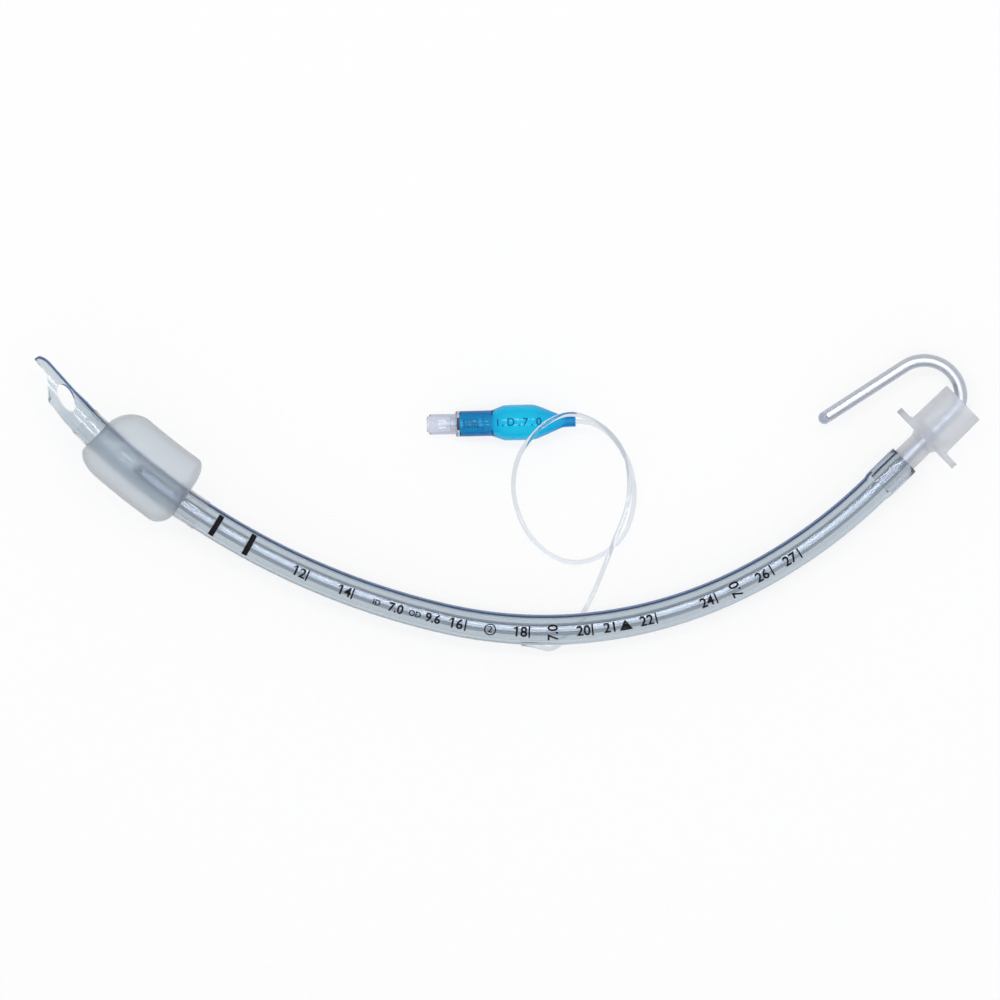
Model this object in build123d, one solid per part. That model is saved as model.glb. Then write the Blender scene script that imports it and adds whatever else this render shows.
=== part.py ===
from build123d import *
from math import asin, cos, degrees, radians, sin, tan
import os

os.makedirs("parts", exist_ok=True)

# Sizes of the tube, in millimetres. Stations are distances along its centreline from the end that is
# pushed on the connector.
tube_bore = 7.0
tube_diameter = 9.6
tip_diameter = 8.8
lie_heading = 224.4
flare_length = 11.2
flare_wall = 1.15
neck_down = 2.0
proximal_radius = 165
proximal_arc = 51
bow_radius = 139.2
bow_arc = 96
distal_radius = 237.2
distal_arc = 118.6
tip_bend_radius = 140
tip_bend_arc = 16.6
tip_straight = 16.7
tip_taper = 5.0

# The slanted mouth, the two side eyes and the hooded nose
bevel_angle = 38.3
bevel_corner = 0.8
heel_to_nose = 8.9
hood_depth = 3.0
nose_sweep_radius = 8.0
nose_sweep_angle = 25
nose_curl_radius = 1.6
nose_curl_angle = 95
eye_length = 9.4
eye_width = 4.4
eye_to_nose = 11.4
eye_offset = 0.7
eye_lean = 15

# The blue line in the wall on the inside of the bow, and the air channel in the wall on the outside
line_stripe_width = 2.0
line_stripe_thickness = 0.5
channel_bore = 0.7
channel_vent = 1.0

# The cuff, a thin film bonded to the tube by a collar at each end
cuff_diameter = 24.5
cuff_length = 34
cuff_film = 0.25
cuff_to_nose = 26.0
cuff_far_shoulder = 9.0
cuff_near_shoulder = 4.5
cuff_lopside = 1.2
collar_wall = 0.35
far_collar = 6.0
near_collar = 7.5
bond_gap = 0.05
channel_skin = 0.15
collar_lap = 0.6
shoulder_steps = 6
barrel_steps = 5

# The connector: a shank in the tube, an oval flange, and a 15 mm male cone with the standard taper
cone_mouth_diameter = 15.0
cone_length = 15.0
cone_taper = 1 / 40
cone_bore = 12.2
cone_edge = 0.3
flange_span = 25
flange_breadth = 16.2
flange_thickness = 2.0
flange_tip_radius = 3.2
skirt_diameter = 9.6
skirt_length = 1.6
shank_diameter = 8.1
shank_exposed = 8.8
shank_inserted = 11.0
shank_bore = 6.2
shank_lead = 0.35
bore_funnel = 5.0
rib_reach = 0.9
rib_width = 1.2

# The stylet, an aluminium rod in a closed plastic sheath, hooked over at the connector
stylet_diameter = 4.0
sheath_wall = 0.6
core_gap = 0.05
stylet_to_nose = 44
stylet_drop = 0.9
hook_start = 3.4
hook_first_radius = 6.0
hook_first_turn = 48.5
hook_second_radius = 11.6
hook_second_turn = 120
hook_straight = 29.8
core_short = 1.3

# The pilot balloon and the valve in it, measured from the valve's mouth
line_diameter = 1.5
line_play = 0.25
arc_share = 0.45
line_insertion = 3.0
line_entry_run = 4.5
line_lead = 3.0
crossing_station = 118.5
channel_start = 136
valve_diameter = 6.5
valve_chamfer = 0.9
collar_start = 9.1
valve_collar_length = 1.4
valve_collar_diameter = 8.1
valve_tail_diameter = 6.6
valve_length = 20.4
socket_mouth = 4.27
socket_taper = 0.06
socket_depth = 7.5
seat_bore = 2.4
chamber_start = 9.5
chamber_bore = 4.8
balloon_diameter = 11.2
balloon_wall = 0.4
sleeve_diameter = 8.1
sleeve_length = 9.8
shoulder_length = 3.4
belly_length = 11.0
balloon_cone_length = 7.9
tail_length = 4.4
tail_diameter = 3.5
balloon_rounding = 1.5
stem_diameter = 1.4
stem_tip = 3.6
stem_vane_diameter = 2.8
stem_vane_thickness = 0.6
stem_vane_length = 2.4
stem_flange_diameter = 3.6
stem_flange_thickness = 0.8
stem_tail_length = 2.6
seal_diameter = 4.0
seal_thickness = 1.2
spring_wire = 0.3
spring_diameter = 3.0
spring_turns = 5
spring_length = 5.0
retainer_thickness = 1.0
retainer_hole = 1.8
vent_count = 6
vent_circle = 3.0
vent_bore = 0.6
seat_gap = 0.02

# Where the valve's mouth lies, and the direction of its axis in plan
valve_place = (-25.19, 23.65)
valve_bearing = 1.3

# The inflation line's way between the tube's wall and the balloon: out under the bow, up beside its own
# loop, over the balloon, down on the far side and round below, as corner points
route_middle = [
    (13.1, -47.4, 4.4), (17.0, -45.4, 1.6), (20.6, -41.2, 0.75), (24.1, -35.5, 0.75),
    (27.4, -29.2, 0.75), (31.3, -19.2, 3.2), (33.5, -13.2, 3.2), (36.4, -6.6, 1.8),
    (38.4, 0.3, 0.8), (38.6, 9.1, 3.6), (36.4, 15.6, 4.8), (32.3, 21.2, 7.5),
    (26.6, 25.3, 10.5), (20.0, 27.4, 12.8), (13.4, 25.2, 14.9), (8.2, 20.6, 14.9),
    (3.7, 14.6, 11.5), (1.6, 6.6, 5.5), (2.4, -1.9, 1.5), (5.9, -10.1, 0.75),
    (12.0, -17.0, 0.75), (20.3, -20.4, 0.75), (29.1, -18.4, 0.75), (36.4, -12.4, 0.75),
    (39.8, -3.8, 0.75), (40.1, 4.7, 0.75), (38.2, 12.3, 1.4), (34.8, 17.8, 4.2),
    (30.2, 22.6, 6.7),
]

tube_radius = tube_diameter / 2
bore_radius = tube_bore / 2
tip_radius = tip_diameter / 2
tip_wall = tip_radius - bore_radius
mid_wall = (tube_radius + bore_radius) / 2
stripe_radius = (tip_radius + bore_radius) / 2 + line_stripe_thickness / 4
line_radius = line_diameter / 2
machine_straight = flare_length + neck_down
runs = [
    (machine_straight, None),
    (proximal_arc, proximal_radius),
    (bow_arc, bow_radius),
    (distal_arc, distal_radius),
    (tip_bend_arc, tip_bend_radius),
    (tip_straight, None),
]
nose_station = sum(length for length, radius in runs)
tip_station = nose_station - tip_straight
cuff_far_station = nose_station - cuff_to_nose
cuff_near_station = cuff_far_station - cuff_length
flare_bore_radius = shank_diameter / 2 + bond_gap
cone_base_radius = (cone_mouth_diameter + cone_length * cone_taper) / 2
balloon_start = collar_start + valve_collar_length + seat_gap
balloon_end = (
    balloon_start + sleeve_length + shoulder_length + belly_length + balloon_cone_length + tail_length
)
flange_end = chamber_start + 2 * seat_gap + seal_thickness + stem_flange_thickness


def station_frame(station):
    """The place on the centreline at a station, X along the tube and Y out of the bow."""
    place = Rot(Z=lie_heading)
    for length, radius in runs:
        step = min(station, length)
        if radius is None:
            place *= Pos(X=step)
        else:
            place *= Pos(Y=-radius) * Rot(Z=-degrees(step / radius)) * Pos(Y=radius)
        station -= step
    return place


def station_point(station, inward=0):
    """A point beside the centreline, set over to the inside of the bow."""
    return (station_frame(station) * Pos(Y=-inward)).position


def run_along(start, stop, inward=0):
    """The wire beside the centreline from one station to another, one edge for each straight or arc."""
    edges = []
    passed = 0
    for length, radius in runs:
        low = max(start, passed)
        high = min(stop, passed + length)
        if high > low:
            begin = station_point(low, inward)
            if radius is None:
                edges.append(Edge.make_line(begin, station_point(high, inward)))
            else:
                heading = (station_frame(low) * Pos(X=1)).position - station_frame(low).position
                turn = -degrees((high - low) / radius)
                edges.append(JernArc(begin, heading, radius - inward, turn).edge())
        passed += length
    return Wire(edges)


def section_plane(start, inward=0):
    """The plane across a wire's first point, its X axis to the inside of the bow."""
    along = station_frame(start)
    origin = station_point(start, inward)
    heading = (along * Pos(X=1)).position - along.position
    inside = (along * Pos(Y=-1)).position - along.position
    return Plane(origin=origin, x_dir=inside, z_dir=heading)


def revolved(outline):
    """A solid of revolution about Z from a closed outline of radius and height."""
    return revolve(make_face(Plane.XZ * outline), Axis.Z)


def machine_end():
    """The end pushed on the connector, stretched over its shank and narrowing to the tube."""
    outline = Polyline(
        (flare_bore_radius, 0),
        (flare_bore_radius + flare_wall, 0),
        (flare_bore_radius + flare_wall, flare_length),
        (tube_radius, machine_straight),
        (bore_radius, machine_straight),
        (flare_bore_radius, flare_length),
        close=True,
    )
    return section_plane(0).location * revolved(outline)


def nose_line(radius):
    """The line that the wall of the nose follows in section, a slow sweep and then a tight curl."""
    lift = tip_radius - radius
    sweep_arc = JernArc((radius, tip_straight), (0, 1), nose_sweep_radius - lift, nose_sweep_angle)
    curl_arc = JernArc(sweep_arc @ 1, sweep_arc % 1, nose_curl_radius - lift, nose_curl_angle)
    return [sweep_arc, curl_arc]


def bevel_cutter():
    """Everything in front of the slanted mouth, up to the underside of the hood."""
    brow = tip_radius - hood_depth
    slope = 1 / tan(radians(bevel_angle))
    heel = tip_straight - heel_to_nose
    clear = 2 * tip_radius
    corner = (brow, heel + (tip_radius + brow) * slope)
    outline = Polyline(
        (-clear, heel + (tip_radius - clear) * slope),
        corner,
        (brow, tip_straight + clear),
        (-clear, tip_straight + clear),
        close=True,
    )
    face = make_face(outline)
    rounded = fillet(face.vertices().sort_by_distance(corner)[0], bevel_corner)
    return extrude(Plane.XZ * rounded, amount=clear, both=True)


def eye_cutter():
    """The oval hole that goes through both side walls, leaning towards the inside of the bow."""
    oval = Pos(eye_offset, tip_straight - eye_to_nose) * Rot(Z=90 - eye_lean)
    hole = Plane.XZ * (oval * Ellipse(eye_length / 2, eye_width / 2))
    return extrude(hole, amount=tube_diameter, both=True)


def soft_tip():
    """The moulded tip, thinner than the tube, with its hooded nose, slanted mouth and two eyes."""
    outline = Polyline(
        (bore_radius, 0),
        (tube_radius, 0),
        (tip_radius, tip_taper),
        (tip_radius, tip_straight),
        (bore_radius, tip_straight),
        close=True,
    )
    nose = trace(nose_line((tip_radius + bore_radius) / 2), tip_wall)
    tip = revolved(outline) + revolve(Plane.XZ * nose, Axis.Z) - bevel_cutter() - eye_cutter()
    return section_plane(tip_station).location * tip


def stripe():
    """The blue strip buried in the wall all along the inside of the bow, round the nose to its edge."""
    flare_middle = flare_bore_radius + flare_wall / 2
    ramp_start = station_point(flare_length, flare_middle)
    edges = [
        Edge.make_line(station_point(0, flare_middle), ramp_start),
        Edge.make_line(ramp_start, station_point(machine_straight, stripe_radius)),
    ]
    edges += run_along(machine_straight, nose_station, stripe_radius).edges()
    along_tip = section_plane(tip_station).location * Plane.XZ.location
    edges += [along_tip * arc for arc in Curve(nose_line(stripe_radius)).edges()]
    section = RectangleRounded(line_stripe_thickness, line_stripe_width, line_stripe_thickness / 3)
    start = section_plane(0, flare_middle) * section
    return sweep(start, path=Wire(edges), transition=Transition.RIGHT)


def air_channel():
    """The fine channel in the outer wall, from the inflation line to the vent inside the cuff."""
    vent_station = (cuff_near_station + cuff_far_station) / 2
    path = run_along(channel_start, vent_station, -mid_wall)
    bore = sweep(section_plane(channel_start, -mid_wall) * Circle(channel_bore / 2), path=path)
    drill = Pos(Y=mid_wall) * Rot(X=-90) * Cylinder(
        channel_vent / 2, tube_radius, align=(Align.CENTER, Align.CENTER, Align.MIN)
    )
    return bore + station_frame(vent_station) * drill


def bare_tube():
    """The clear tube in one piece, before the inflation line's pocket is cut."""
    ring = section_plane(machine_straight) * (Circle(tube_radius) - Circle(bore_radius))
    body = sweep(ring, path=run_along(machine_straight, tip_station))
    return machine_end() + body + soft_tip() - stripe() - air_channel()


def film(reach, neck, inset):
    """The cuff's skin, through circles that grow as a quarter ellipse, set over to the inside of the bow."""
    rings = []
    for number in range(shoulder_steps + 1):
        share = sin(radians(90 * number / shoulder_steps))
        rest = 1 - cos(radians(90 * number / shoulder_steps))
        near_run = inset + (cuff_near_shoulder - inset) * rest
        far_run = inset + (cuff_far_shoulder - inset) * rest
        rings.append((cuff_near_station + near_run, share))
        rings.append((cuff_far_station - far_run, share))
    barrel = cuff_length - cuff_near_shoulder - cuff_far_shoulder
    for number in range(1, barrel_steps):
        rings.append((cuff_near_station + cuff_near_shoulder + barrel * number / barrel_steps, 1))
    sections = []
    for station, share in sorted(rings):
        circle = Pos(X=cuff_lopside * share) * Circle(neck + (reach - neck) * share)
        sections.append(section_plane(station) * circle)
    return loft(sections)


def cuff():
    """The inflated cuff, its film and the two collars that hold it on the tube."""
    collar_bore = tube_radius + bond_gap
    collar_radius = collar_bore + collar_wall
    outside = film(cuff_diameter / 2, collar_radius, 0)
    inside = film(cuff_diameter / 2 - cuff_film, collar_bore, cuff_film)
    skin = outside - inside
    collar_starts = (cuff_near_station - near_collar, cuff_far_station - collar_lap)
    collar_lengths = (near_collar + collar_lap, far_collar + collar_lap)
    for start, length in zip(collar_starts, collar_lengths):
        ring = section_plane(start) * (Circle(collar_radius) - Circle(collar_bore))
        skin += sweep(ring, path=run_along(start, start + length))
    start = cuff_near_station - near_collar
    bore = section_plane(start) * Circle(collar_bore)
    return skin - sweep(bore, path=run_along(start, cuff_far_station + far_collar))


def connector_plane():
    """The connector's own frame: origin at the tube's end, Z towards the breathing circuit."""
    tube_end = section_plane(0)
    return Plane(origin=tube_end.origin, x_dir=tube_end.x_dir, z_dir=-tube_end.z_dir)


def flange():
    """The oval plate with two wings, and a short rib from each wing to the cone."""
    wing_centre = flange_span / 2 - flange_tip_radius
    outline = make_hull(
        Circle(flange_breadth / 2).edges()
        + (Pos(wing_centre) * Circle(flange_tip_radius)).edges()
        + (Pos(-wing_centre) * Circle(flange_tip_radius)).edges()
    )
    plate = Pos(Z=shank_exposed) * extrude(outline, flange_thickness)
    rib_outline = Plane.XZ * Polyline(
        (-cone_base_radius - rib_reach, shank_exposed + flange_thickness),
        (cone_base_radius + rib_reach, shank_exposed + flange_thickness),
        (cone_base_radius - rib_reach, shank_exposed + flange_thickness + 2 * rib_reach),
        (-cone_base_radius + rib_reach, shank_exposed + flange_thickness + 2 * rib_reach),
        close=True,
    )
    return plate + extrude(make_face(rib_outline), amount=rib_width / 2, both=True)


def connector():
    """The frosted connector in one moulding."""
    shank_radius = shank_diameter / 2
    seat = shank_exposed + flange_thickness
    mouth = seat + cone_length
    outer = Polyline(
        (0, -shank_inserted),
        (shank_radius - shank_lead, -shank_inserted),
        (shank_radius, -shank_inserted + 3 * shank_lead),
        (shank_radius, shank_exposed - skirt_length),
        (skirt_diameter / 2, shank_exposed),
        (skirt_diameter / 2, seat),
        (cone_base_radius, seat),
        (cone_mouth_diameter / 2, mouth - cone_edge),
        (cone_mouth_diameter / 2 - cone_edge, mouth),
        (0, mouth),
        close=True,
    )
    funnel = shank_exposed - bore_funnel / 4
    inner = Polyline(
        (0, -shank_inserted),
        (shank_bore / 2, -shank_inserted),
        (shank_bore / 2, funnel),
        (cone_bore / 2, funnel + bore_funnel),
        (cone_bore / 2, mouth),
        (0, mouth),
        close=True,
    )
    return connector_plane().location * (revolved(outer) + flange() - revolved(inner))


def stylet_path(short):
    """The stylet's line from inside the tube to its hook, stopping short of both rounded ends."""
    along = connector_plane()
    bend = shank_exposed + flange_thickness + cone_length - hook_start
    straight = Edge.make_line(along.origin, along.origin + along.z_dir * bend)
    first = JernArc(straight @ 1, straight % 1, hook_first_radius, hook_first_turn)
    second = JernArc(first @ 1, first % 1, hook_second_radius, hook_second_turn)
    end = Edge.make_line(second @ 1, second @ 1 + (second % 1) * (hook_straight - short))
    edges = run_along(0, nose_station - stylet_to_nose - short).edges()
    return Pos(Z=-stylet_drop) * Wire([*edges, straight, first.edge(), second.edge(), end])


def rod(path, radius):
    """A round bar along a path."""
    return sweep((path ^ 0) * Circle(radius), path=path)


def stylet():
    """The stylet's plastic sheath with its two rounded ends, and the aluminium core inside it."""
    radius = stylet_diameter / 2
    core_radius = radius - sheath_wall - core_gap
    path = stylet_path(0)
    sheath = rod(path, radius) + Pos(path @ 0) * Sphere(radius) + Pos(path @ 1) * Sphere(radius)
    sheath -= rod(stylet_path(core_short - core_gap), radius - sheath_wall)
    return sheath, rod(stylet_path(core_short), core_radius)


def valve_body():
    """The valve's clear housing: syringe socket, collar, and the tail in the balloon's sleeve."""
    radius = valve_diameter / 2
    collar_end = collar_start + valve_collar_length
    outline = Polyline(
        (socket_mouth / 2, 0),
        (radius - valve_chamfer, 0),
        (radius, valve_chamfer),
        (radius, collar_start),
        (valve_collar_diameter / 2, collar_start),
        (valve_collar_diameter / 2, collar_end),
        (valve_tail_diameter / 2, collar_end),
        (valve_tail_diameter / 2, valve_length),
        (chamber_bore / 2, valve_length),
        (chamber_bore / 2, chamber_start),
        (seat_bore / 2, chamber_start),
        (seat_bore / 2, socket_depth),
        ((socket_mouth - socket_taper * socket_depth) / 2, socket_depth),
        close=True,
    )
    return revolved(outline)


def valve_seal():
    """The rubber ring that closes the seat."""
    ring = Circle(seal_diameter / 2) - Circle(stem_diameter / 2 + seat_gap)
    return Pos(Z=chamber_start + seat_gap) * extrude(ring, seal_thickness)


def valve_stem():
    """The plunger that a syringe pushes: vanes, a rod, the flange behind the seal and a guide pin."""
    upright = (Align.CENTER, Align.CENTER, Align.MIN)
    vane = Box(stem_vane_diameter, stem_vane_thickness, stem_vane_length, align=upright)
    head = Pos(Z=stem_tip) * (vane + Rot(Z=90) * vane)
    shaft = Pos(Z=stem_tip) * extrude(Circle(stem_diameter / 2), flange_end + stem_tail_length - stem_tip)
    plate = extrude(Circle(stem_flange_diameter / 2), stem_flange_thickness)
    return head + shaft + Pos(Z=flange_end - stem_flange_thickness) * plate


def valve_spring():
    """The coil spring between the plunger's flange and the retainer."""
    rise = spring_length - spring_wire
    line = Helix(rise / spring_turns, rise, (spring_diameter - spring_wire) / 2)
    coil = sweep((line ^ 0) * Circle(spring_wire / 2), path=line, is_frenet=True)
    return Pos(Z=flange_end + seat_gap + spring_wire / 2) * coil


def valve_retainer():
    """The perforated disc that holds the spring in the chamber."""
    disc = Circle(chamber_bore / 2 - seat_gap)
    disc -= PolarLocations(vent_circle / 2, vent_count) * Circle(vent_bore / 2)
    disc -= Circle(retainer_hole / 2)
    return Pos(Z=flange_end + 2 * seat_gap + spring_length) * extrude(disc, retainer_thickness)


def pilot_balloon():
    """The blue balloon in one piece: sleeve over the valve, belly, cone and tail."""
    start = balloon_start
    sleeve_end = start + sleeve_length
    belly = sleeve_end + shoulder_length
    cone = belly + belly_length
    tail = cone + balloon_cone_length
    end = balloon_end
    sleeve_bore = valve_tail_diameter / 2 + seat_gap
    tail_bore = line_radius + bond_gap
    belly_radius = balloon_diameter / 2
    outer = FilletPolyline(
        (sleeve_diameter / 2, start),
        (sleeve_diameter / 2, sleeve_end),
        (belly_radius, belly),
        (belly_radius, cone),
        (tail_diameter / 2, tail),
        (tail_diameter / 2, end),
        radius=balloon_rounding,
    )
    inner = FilletPolyline(
        (tail_bore, end),
        (tail_bore, tail),
        (belly_radius - balloon_wall, cone),
        (belly_radius - balloon_wall, belly),
        (sleeve_bore, sleeve_end),
        (sleeve_bore, start),
        radius=balloon_rounding,
    )
    mouth = Line(inner @ 1, outer @ 0)
    rim = Line(outer @ 1, inner @ 0)
    return revolved(Wire(outer.edges() + [rim.edge()] + inner.edges() + [mouth.edge()]))


def valve_frame():
    """Where the valve lies: on the rim of its mouth and on the balloon's belly."""
    belly = collar_start + valve_collar_length + sleeve_length + shoulder_length
    tilt = asin((balloon_diameter - valve_diameter) / 2 / (belly - valve_chamfer))
    height = valve_diameter / 2 * cos(tilt) - valve_chamfer * sin(tilt)
    bearing = radians(valve_bearing)
    axis = Vector(cos(bearing) * cos(tilt), sin(bearing) * cos(tilt), sin(tilt))
    return Plane(origin=(*valve_place, height), x_dir=(-sin(bearing), cos(bearing), 0), z_dir=axis)


def lying_place(shapes):
    """Lays the tube on its cuff, its flange and the line, the middle of its box at the origin."""
    seats = [
        station_point(cuff_near_station + cuff_near_shoulder) - Vector(0, 0, cuff_diameter / 2),
        connector_plane().origin + connector_plane().z_dir * (shank_exposed + flange_thickness / 2)
        - Vector(0, 0, flange_breadth / 2),
        station_point(crossing_station) - Vector(0, 0, tube_radius + line_diameter + line_play),
    ]
    normal = (seats[0] - seats[1]).cross(seats[2] - seats[1])
    if normal.Z < 0:
        normal = -normal
    floor = Plane(origin=seats[0], x_dir=(1, 0, 0), z_dir=normal)
    lying = floor.location.inverse()
    box = Compound([lying * shape for shape in shapes]).bounding_box()
    return Pos(-box.center().X, -box.center().Y, -box.min.Z) * lying


def line_route():
    """The corner points of the inflation line, from its end in the tube's wall to the balloon's."""
    wall_depth = bore_radius + line_radius + bond_gap + channel_skin
    start = (place * Pos(station_point(channel_start, -wall_depth))).position
    outside = station_point(channel_start - line_entry_run, -tube_radius - bond_gap)
    leaving = (place * Pos(outside)).position
    neck_end = balloon_end - line_insertion
    lead = (valve_location * Pos(Z=balloon_end + line_lead)).position
    finish = (valve_location * Pos(Z=neck_end)).position
    return [start, leaving, *[Vector(*point) for point in route_middle], lead, finish]


def line_path(points):
    """The inflation line's centreline: straight runs joined by arcs as large as the runs allow."""
    radii = []
    for before, corner, after in zip(points, points[1:], points[2:]):
        arriving = corner - before
        leaving = after - corner
        turn = radians(arriving.get_angle(leaving))
        radii.append(arc_share * min(arriving.length, leaving.length) / tan(turn / 2))
    print("line radii", [round(radius, 1) for radius in radii])
    return FilletPolyline(*points, radius=radii)


def line_pocket(path):
    """The slot in the tube's wall that the inflation line's end is glued in."""
    first = Wire(path.edges()[:3])
    pocket = (first ^ 0) * Circle(line_radius + bond_gap)
    return sweep(pocket, path=first)


sheath, core = stylet()
lying_shapes = {
    "tube": bare_tube(),
    "radiopaque_line": stripe(),
    "cuff": cuff(),
    "connector": connector(),
    "stylet_sheath": sheath,
    "stylet_core": core,
}
place = lying_place(lying_shapes.values())
nodes = {name: place * shape for name, shape in lying_shapes.items()}
valve_location = valve_frame().location
nodes["valve_body"] = valve_location * valve_body()
nodes["valve_stem"] = valve_location * valve_stem()
nodes["valve_seal"] = valve_location * valve_seal()
nodes["valve_spring"] = valve_location * valve_spring()
nodes["valve_retainer"] = valve_location * valve_retainer()
nodes["pilot_balloon"] = valve_location * pilot_balloon()
centreline = line_path(line_route())
nodes["inflation_line"] = sweep((centreline ^ 0) * Circle(line_radius), path=centreline)
nodes["tube"] -= line_pocket(centreline)
print("line length", round(centreline.length, 1), "volume", round(nodes["inflation_line"].volume, 1))
for name, shape in nodes.items():
    export_step(shape, f"parts/{name}.step")
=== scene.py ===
"""A cuffed endotracheal tube on a pale floor, with its connector, stylet, pilot balloon and valve."""

import math

import bmesh
import bpy
import numpy as np
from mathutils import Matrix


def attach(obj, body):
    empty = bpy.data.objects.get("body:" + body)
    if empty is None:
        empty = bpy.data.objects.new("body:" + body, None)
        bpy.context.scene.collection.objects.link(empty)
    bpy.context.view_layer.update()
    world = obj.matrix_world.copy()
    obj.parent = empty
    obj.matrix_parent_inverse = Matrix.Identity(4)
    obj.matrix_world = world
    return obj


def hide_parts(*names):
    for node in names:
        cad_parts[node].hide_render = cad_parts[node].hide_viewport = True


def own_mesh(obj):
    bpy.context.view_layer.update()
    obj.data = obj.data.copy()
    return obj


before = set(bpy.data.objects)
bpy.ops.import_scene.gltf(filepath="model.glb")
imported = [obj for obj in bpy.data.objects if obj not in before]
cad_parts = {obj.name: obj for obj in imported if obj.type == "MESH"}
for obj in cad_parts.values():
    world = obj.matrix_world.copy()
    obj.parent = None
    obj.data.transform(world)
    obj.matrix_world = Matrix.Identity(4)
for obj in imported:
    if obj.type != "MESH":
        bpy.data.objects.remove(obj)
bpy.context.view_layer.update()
bpy.context.scene.view_settings.view_transform = "Standard"

# The camera looks straight down through a long lens. The tube's millimetres become metres here, and the
# middle of the view lies a little to the left of the object's origin.
MM = 0.001
view_middle = (-2.32, -0.1)
view_width = 314.5
view_height = 8
lens_height = 3000.0


def added(name, data):
    """Puts a new object that holds a mesh, a curve, a lamp or a camera into the scene."""
    made = bpy.data.objects.new(name, data)
    bpy.context.collection.objects.link(made)
    return made


camera = added("long_lens", bpy.data.cameras.new("long_lens"))
camera.location = (view_middle[0] * MM, view_middle[1] * MM, (lens_height + view_height) * MM)
camera.data.lens = camera.data.sensor_width * lens_height / view_width
camera.data.clip_start = 0.01
camera.data.clip_end = 20
bpy.context.scene.camera = camera


# The inflation line is a clear vinyl tube of 1.5 mm. It leaves a slot in the tube's outer wall, goes out
# under the bow, up beside its own loop, over the balloon, round below and up again into the balloon's tail.
class Tone:
    """One output of a finish's nodes; arithmetic on it adds the Math nodes that work the sum out."""

    def __init__(self, finish, socket):
        self.finish = finish
        self.socket = socket

    def __add__(self, other):
        return self.finish.maths("ADD", self, other)

    __radd__ = __add__

    def __sub__(self, other):
        return self.finish.maths("SUBTRACT", self, other)

    def __rsub__(self, other):
        return self.finish.maths("SUBTRACT", other, self)

    def __mul__(self, other):
        return self.finish.maths("MULTIPLY", self, other)

    __rmul__ = __mul__


class Finish:
    """The nodes of one of the object's own finishes, or of the room round it."""

    def __init__(self, name, kind=bpy.data.materials):
        self.block = kind.new(name)
        self.block.use_nodes = True
        self.block.node_tree.nodes.clear()

    def node(self, kind, settings=None, sockets=None, output=0):
        """Adds a node, makes its settings, then sets or links its sockets, and gives one of its outputs."""
        made = self.block.node_tree.nodes.new(kind)
        for name, value in (settings or {}).items():
            if name == "stops":
                for stop, (position, colour) in zip(made.color_ramp.elements, value):
                    stop.position = position
                    stop.color = (*colour, 1)
            else:
                setattr(made, name, value)
        for name, value in (sockets or {}).items():
            if isinstance(value, Tone):
                self.block.node_tree.links.new(value.socket, made.inputs[name])
            else:
                made.inputs[name].default_value = value
        return Tone(self, made.outputs[output])

    def maths(self, operation, first, second):
        """A Math node on two values."""
        return self.node("ShaderNodeMath", {"operation": operation}, {0: first, 1: second})

    def grain(self, scale, detail=2.0):
        """Noise from 0 to 1 over the object's own coordinates, with that many features to the metre."""
        place = self.node("ShaderNodeTexCoord", output="Object")
        return self.node("ShaderNodeTexNoise", sockets={"Vector": place, "Scale": scale, "Detail": detail})

    def bump(self, height, strength, depth):
        """A normal that follows a height."""
        sockets = {"Height": height, "Strength": strength, "Distance": depth}
        return self.node("ShaderNodeBump", sockets=sockets)

    def finished(self, surface, volume=None, kind="ShaderNodeOutputMaterial"):
        """Ends the nodes in a surface and, for a clear solid, in what its thickness takes from the light."""
        end = self.block.node_tree.nodes.new(kind)
        self.block.node_tree.links.new(surface.socket, end.inputs["Surface"])
        if volume:
            self.block.node_tree.links.new(volume.socket, end.inputs["Volume"])
        return self.block


def clear_plastic(made, tint, index, roughness, shade, ripple, absorbed=None, density=0):
    """A clear plastic: it bends light, its thickness takes a little of the light where it has a density, and
    its shadow is as pale as its shade."""
    wave = made.grain(900, 3.0)
    body = made.node(
        "ShaderNodeBsdfPrincipled",
        sockets={
            "Base Color": (*tint, 1),
            "Roughness": wave * 0.04 + roughness,
            "IOR": index,
            "Transmission Weight": 1.0,
            "Normal": made.bump(wave, ripple, 0.0002),
        },
    )
    thin = made.node("ShaderNodeBsdfTransparent", sockets={"Color": (*shade, 1)})
    shadow = made.node("ShaderNodeLightPath", output="Is Shadow Ray")
    surface = made.node("ShaderNodeMixShader", sockets={0: shadow, 1: body, 2: thin})
    volume = None
    if density:
        sockets = {"Color": (*absorbed, 1), "Density": density}
        volume = made.node("ShaderNodeVolumeAbsorption", sockets=sockets)
    return made.finished(surface, volume)


line_diameter = 1.5
line_route = [
    (4.36, -45.23, 6.66), (8.99, -45.78, 6.52), (13.1, -47.4, 4.4), (17.0, -45.4, 1.6), (20.6, -41.2, 0.75),
    (24.1, -35.5, 0.75), (27.4, -29.2, 0.75), (31.3, -19.2, 3.2), (33.5, -13.2, 3.2), (36.4, -6.6, 1.8),
    (38.4, 0.3, 0.8), (38.6, 9.1, 3.6), (36.4, 15.6, 4.8), (32.3, 21.2, 7.5), (26.6, 25.3, 10.5),
    (20.0, 27.4, 12.8), (13.4, 25.2, 14.9), (8.2, 20.6, 14.9), (3.7, 14.6, 11.5), (1.6, 6.6, 5.5),
    (2.4, -1.9, 1.5), (5.9, -10.1, 0.75), (12.0, -17.0, 0.75), (20.3, -20.4, 0.75), (29.1, -18.4, 0.75),
    (36.4, -12.4, 0.75), (39.8, -3.8, 0.75), (40.1, 4.7, 0.75), (38.2, 12.3, 1.4), (34.8, 17.8, 4.2),
    (30.2, 22.6, 6.7), (24.55, 24.78, 8.3), (18.58, 24.64, 7.68),
]
line_curve = bpy.data.curves.new("inflation_line_tube", "CURVE")
line_curve.dimensions = "3D"
line_curve.bevel_depth = line_diameter / 2 * MM
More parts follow.
